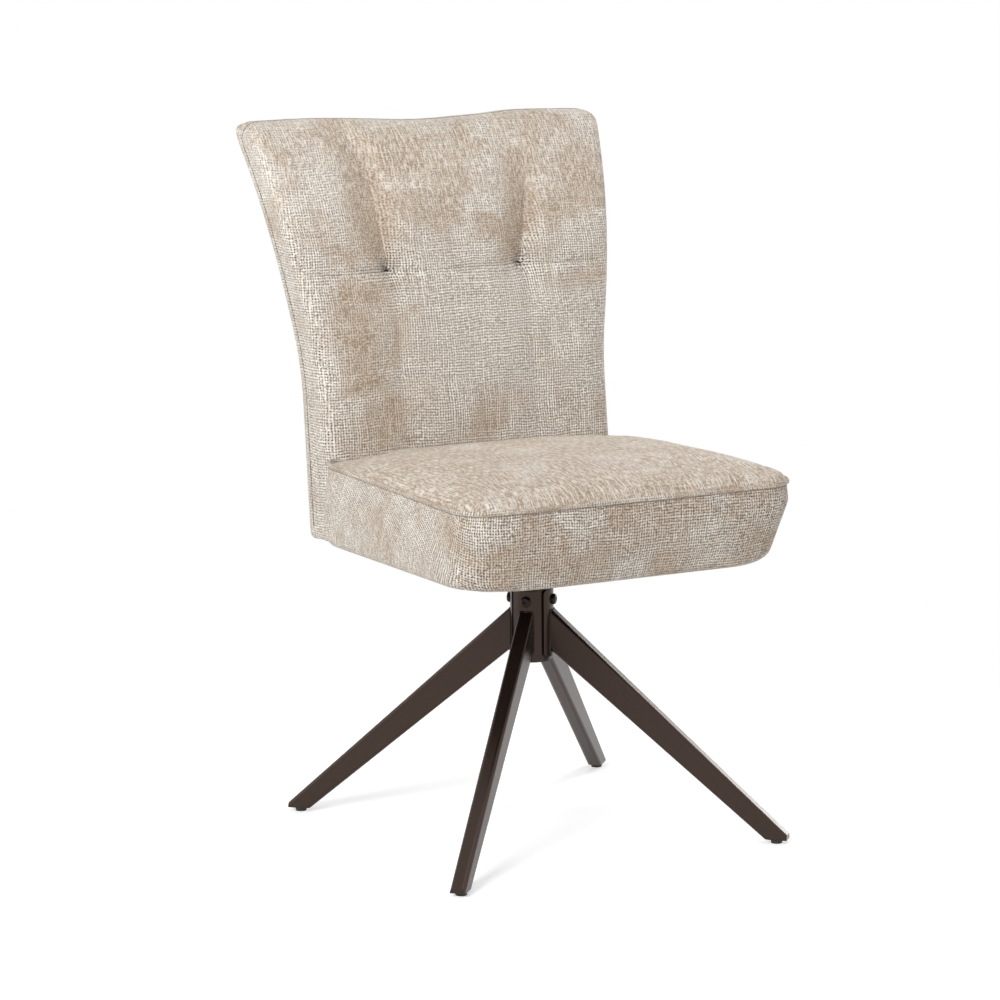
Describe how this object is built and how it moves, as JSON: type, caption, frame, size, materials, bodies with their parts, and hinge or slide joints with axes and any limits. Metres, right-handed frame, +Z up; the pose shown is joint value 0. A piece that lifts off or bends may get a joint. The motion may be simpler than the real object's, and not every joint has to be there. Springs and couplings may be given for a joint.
{
  "type": "swivel dining chair",
  "caption": "Upholstered dining chair with a tufted flared back and a thick seat that turn freely on a base of splayed tapered steel legs.",
  "frame": {"origin": "on the floor, under the middle of the chair's box; the swivel axis is 25.4 mm in front of it", "axes": "+Z up; the chair faces -Y; +X to the right of someone who faces its front"},
  "size_m": [0.526, 0.6028, 0.923],
  "materials": {
    "powder_coat": "dark bronze powder coat, satin",
    "glide_plastic": "black moulded nylon",
    "black_screw": "black oxide",
    "zinc_steel": "zinc plated",
    "bearing_steel": "ground",
    "acetal": "natural white moulded",
    "spring_steel": "drawn wire",
    "plywood": "unfinished plywood",
    "felt": "white nonwoven",
    "webbing": "woven elastic",
    "foam": "polyurethane foam",
    "chenille": "woven greige chenille",
    "dust_cloth": "black spunbond cloth"
  },
  "bodies": {
    "base": {"column_tube": "powder_coat", "column_end_cap": "glide_plastic", "upper_bush": "acetal", "lower_bush": "acetal", "thrust_race_lower": "bearing_steel", "thrust_cage": "acetal", "thrust_balls": "bearing_steel", "leg_front_right": "powder_coat", "leg_front_left": "powder_coat", "leg_rear_left": "powder_coat", "leg_rear_right": "powder_coat", "foot_plate_front_right": "zinc_steel", "foot_plate_front_left": "zinc_steel", "foot_plate_rear_left": "zinc_steel", "foot_plate_rear_right": "zinc_steel", "leg_bracket_front_right": "powder_coat", "leg_bracket_front_left": "powder_coat", "leg_bracket_rear_left": "powder_coat", "leg_bracket_rear_right": "powder_coat", "glide_front_right": "glide_plastic", "glide_front_left": "glide_plastic", "glide_rear_left": "glide_plastic", "glide_rear_right": "glide_plastic", "leg_screws": "black_screw", "glide_studs": "zinc_steel"},
    "seat": {"thrust_race_upper": "bearing_steel", "spindle": "bearing_steel", "retaining_washer": "zinc_steel", "circlip": "zinc_steel", "neck_collar": "powder_coat", "seat_plate": "powder_coat", "plate_bolts": "zinc_steel", "plate_washers": "zinc_steel", "plate_tee_nuts": "zinc_steel", "back_bracket_left": "zinc_steel", "back_bracket_right": "zinc_steel", "bracket_screws": "zinc_steel", "bracket_tee_nuts": "zinc_steel", "seat_board": "plywood", "spring_base_sheet": "felt", "spring_pockets": "felt", "pocket_springs": "spring_steel", "spring_top_sheet": "felt", "seat_foam_surround": "foam", "seat_foam_topper": "foam", "seat_cover_sides": "chenille", "seat_cover_top": "chenille", "seat_piping": "chenille", "underside_cloth": "dust_cloth", "cloth_staples": "zinc_steel", "back_frame": "plywood", "back_webbing": "webbing", "back_foam": "foam", "back_wadding": "felt", "back_cover_front": "chenille", "back_cover_rear": "chenille", "tuft_ties": "webbing", "tuft_toggles": "acetal"}
  },
  "joints": [
    {"name": "seat_swivel", "type": "hinge", "parent": "base", "child": "seat", "pos_m": [0, -0.02544, 0.33], "axis": [0, 0, 1], "continuous": true}
  ]
}
